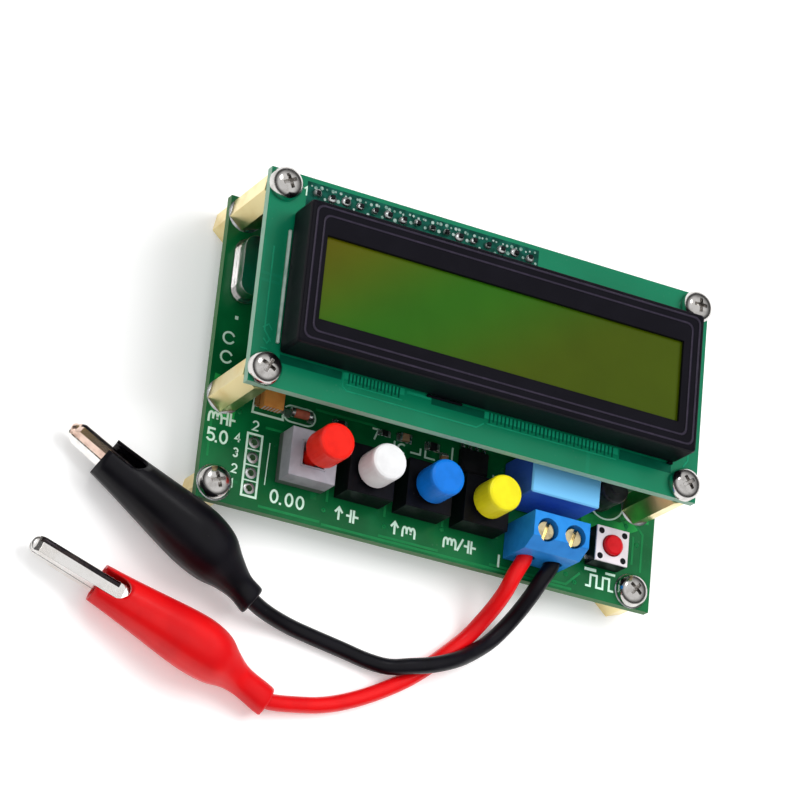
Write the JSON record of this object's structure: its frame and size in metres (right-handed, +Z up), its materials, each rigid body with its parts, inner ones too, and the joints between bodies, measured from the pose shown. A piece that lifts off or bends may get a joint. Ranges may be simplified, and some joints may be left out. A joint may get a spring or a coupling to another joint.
{
  "type": "lcr meter",
  "caption": "Open two-board bench meter for inductors and capacitors: raised character display, push switches, screw terminal and clip leads.",
  "frame": {"origin": "on the table, under the middle of the main board", "axes": "+X along the row of switches, towards the function button; +Y to the edge with the display header; +Z up"},
  "size_m": [0.1051, 0.0815, 0.0281],
  "materials": {
    "main_board": "glossy solder mask",
    "display_board": "glossy solder mask",
    "brass": "bright turned brass",
    "nickel": "bright nickel plate",
    "tin_plate": "bright tin plate",
    "black_plastic": "satin moulded",
    "black_steel": "satin black paint",
    "contact_rubber": "matte",
    "light_guide": "milky",
    "display_glass": "dark olive polariser over glass",
    "relay_blue": "satin light blue",
    "terminal_blue": "satin blue",
    "capacitor_orange": "moulded epoxy",
    "diode_glass": "sealed glass",
    "plunger_red": "satin dark red",
    "cap_red": "satin red",
    "cap_white": "satin white",
    "cap_blue": "satin blue",
    "cap_yellow": "satin yellow",
    "switch_grey": "moulded grey",
    "switch_black": "moulded black",
    "clip_steel": "nickel plated sheet",
    "red_vinyl": "glossy soft vinyl",
    "black_vinyl": "glossy soft vinyl"
  },
  "bodies": {
    "meter": {"main_board": "main_board", "display_board": "display_board", "display_bezel": "black_steel", "display_glass": "display_glass", "light_guide": "light_guide", "contact_strip_front": "contact_rubber", "contact_strip_rear": "contact_rubber", "display_pin_header": "black_plastic", "header_socket": "black_plastic", "relay": "relay_blue", "crystal": "tin_plate", "coil_inductor": "black_plastic", "tantalum_capacitor": "capacitor_orange", "clamp_diode": "diode_glass", "microcontroller": "black_plastic", "usb_socket": "tin_plate", "terminal_housing": "terminal_blue", "function_switch_body": "black_plastic", "function_switch_cover": "tin_plate", "zero_switch_body": "switch_grey", "high_c_switch_body": "switch_black", "high_l_switch_body": "switch_black", "mode_switch_body": "switch_black", "spacer_rear_left": "brass", "display_screw_rear_left": "nickel", "spacer_rear_right": "brass", "display_screw_rear_right": "nickel", "spacer_middle_left": "brass", "display_screw_middle_left": "nickel", "spacer_middle_right": "brass", "display_screw_middle_right": "nickel", "foot_rear_left": "brass", "foot_rear_right": "brass", "foot_front_left": "brass", "foot_front_right": "brass", "board_screw_front_left": "nickel", "board_screw_front_right": "nickel", "under_screw_middle_left": "nickel", "under_screw_middle_right": "nickel", "black_clip_fixed_jaw": "clip_steel", "black_clip_pin": "nickel", "black_clip_spring": "nickel", "black_clip_boot": "black_vinyl", "black_lead": "black_vinyl", "red_clip_fixed_jaw": "clip_steel", "red_clip_pin": "nickel", "red_clip_spring": "nickel", "red_clip_boot": "red_vinyl", "red_lead": "red_vinyl"},
    "zero_key": {"zero_button": "cap_red"},
    "high_c_key": {"high_c_button": "cap_white"},
    "high_l_key": {"high_l_button": "cap_blue"},
    "mode_key": {"mode_button": "cap_yellow"},
    "function_key": {"function_button": "plunger_red"},
    "left_screw": {"terminal_screw_left": "nickel"},
    "right_screw": {"terminal_screw_right": "nickel"},
    "left_clamp": {"terminal_clamp_left": "tin_plate"},
    "right_clamp": {"terminal_clamp_right": "tin_plate"},
    "black_jaw": {"black_clip_moving_jaw": "clip_steel"},
    "red_jaw": {"red_clip_moving_jaw": "clip_steel"}
  },
  "joints": [
    {"name": "zero_press", "type": "slide", "parent": "meter", "child": "zero_key", "axis": [0, 0, -1], "range_m": [0, 0.0015], "stiffness_N_per_m": 400, "springref_m": -0.0015},
    {"name": "high_c_latch", "type": "slide", "parent": "meter", "child": "high_c_key", "axis": [0, 0, 1], "range_m": [-0.0004, 0.0024]},
    {"name": "high_l_latch", "type": "slide", "parent": "meter", "child": "high_l_key", "axis": [0, 0, 1], "range_m": [-0.0004, 0.0024]},
    {"name": "mode_latch", "type": "slide", "parent": "meter", "child": "mode_key", "axis": [0, 0, 1], "range_m": [-0.0004, 0.0024]},
    {"name": "function_press", "type": "slide", "parent": "meter", "child": "function_key", "axis": [0, 0, -1], "range_m": [0, 0.00025], "stiffness_N_per_m": 2000, "springref_m": -0.0004},
    {"name": "left_clamp_travel", "type": "slide", "parent": "meter", "child": "left_clamp", "axis": [0, 0, -1], "range_m": [0, 0.0009]},
    {"name": "left_screw_turn", "type": "hinge", "parent": "meter", "child": "left_screw", "pos_m": [0.0157, -0.01985, 0.0139], "axis": [0, 0, 1], "range_deg": [0, 648.2]},
    {"name": "right_clamp_travel", "type": "slide", "parent": "meter", "child": "right_clamp", "axis": [0, 0, -1], "range_m": [0, 0.0009]},
    {"name": "right_screw_turn", "type": "hinge", "parent": "meter", "child": "right_screw", "pos_m": [0.0207, -0.01985, 0.0139], "axis": [0, 0, 1], "range_deg": [0, 648.2]},
    {"name": "black_clip_open", "type": "hinge", "parent": "meter", "child": "black_jaw", "pos_m": [-0.04681, -0.02723, 0.00494], "axis": [0.5261, 0.7117, -0.4655], "range_deg": [0, 16], "stiffness_Nm_per_rad": 0.03, "springref_deg": -34.38},
    {"name": "red_clip_open", "type": "hinge", "parent": "meter", "child": "red_jaw", "pos_m": [-0.04899, -0.04383, 0.00424], "axis": [0.3665, 0.9304, 0], "range_deg": [0, 24], "stiffness_Nm_per_rad": 0.03, "springref_deg": -34.38}
  ],
  "couplings": [
    {"joint": "left_screw_turn", "follows": "left_clamp_travel", "rad_per_m": 12566},
    {"joint": "right_screw_turn", "follows": "right_clamp_travel", "rad_per_m": 12566}
  ]
}
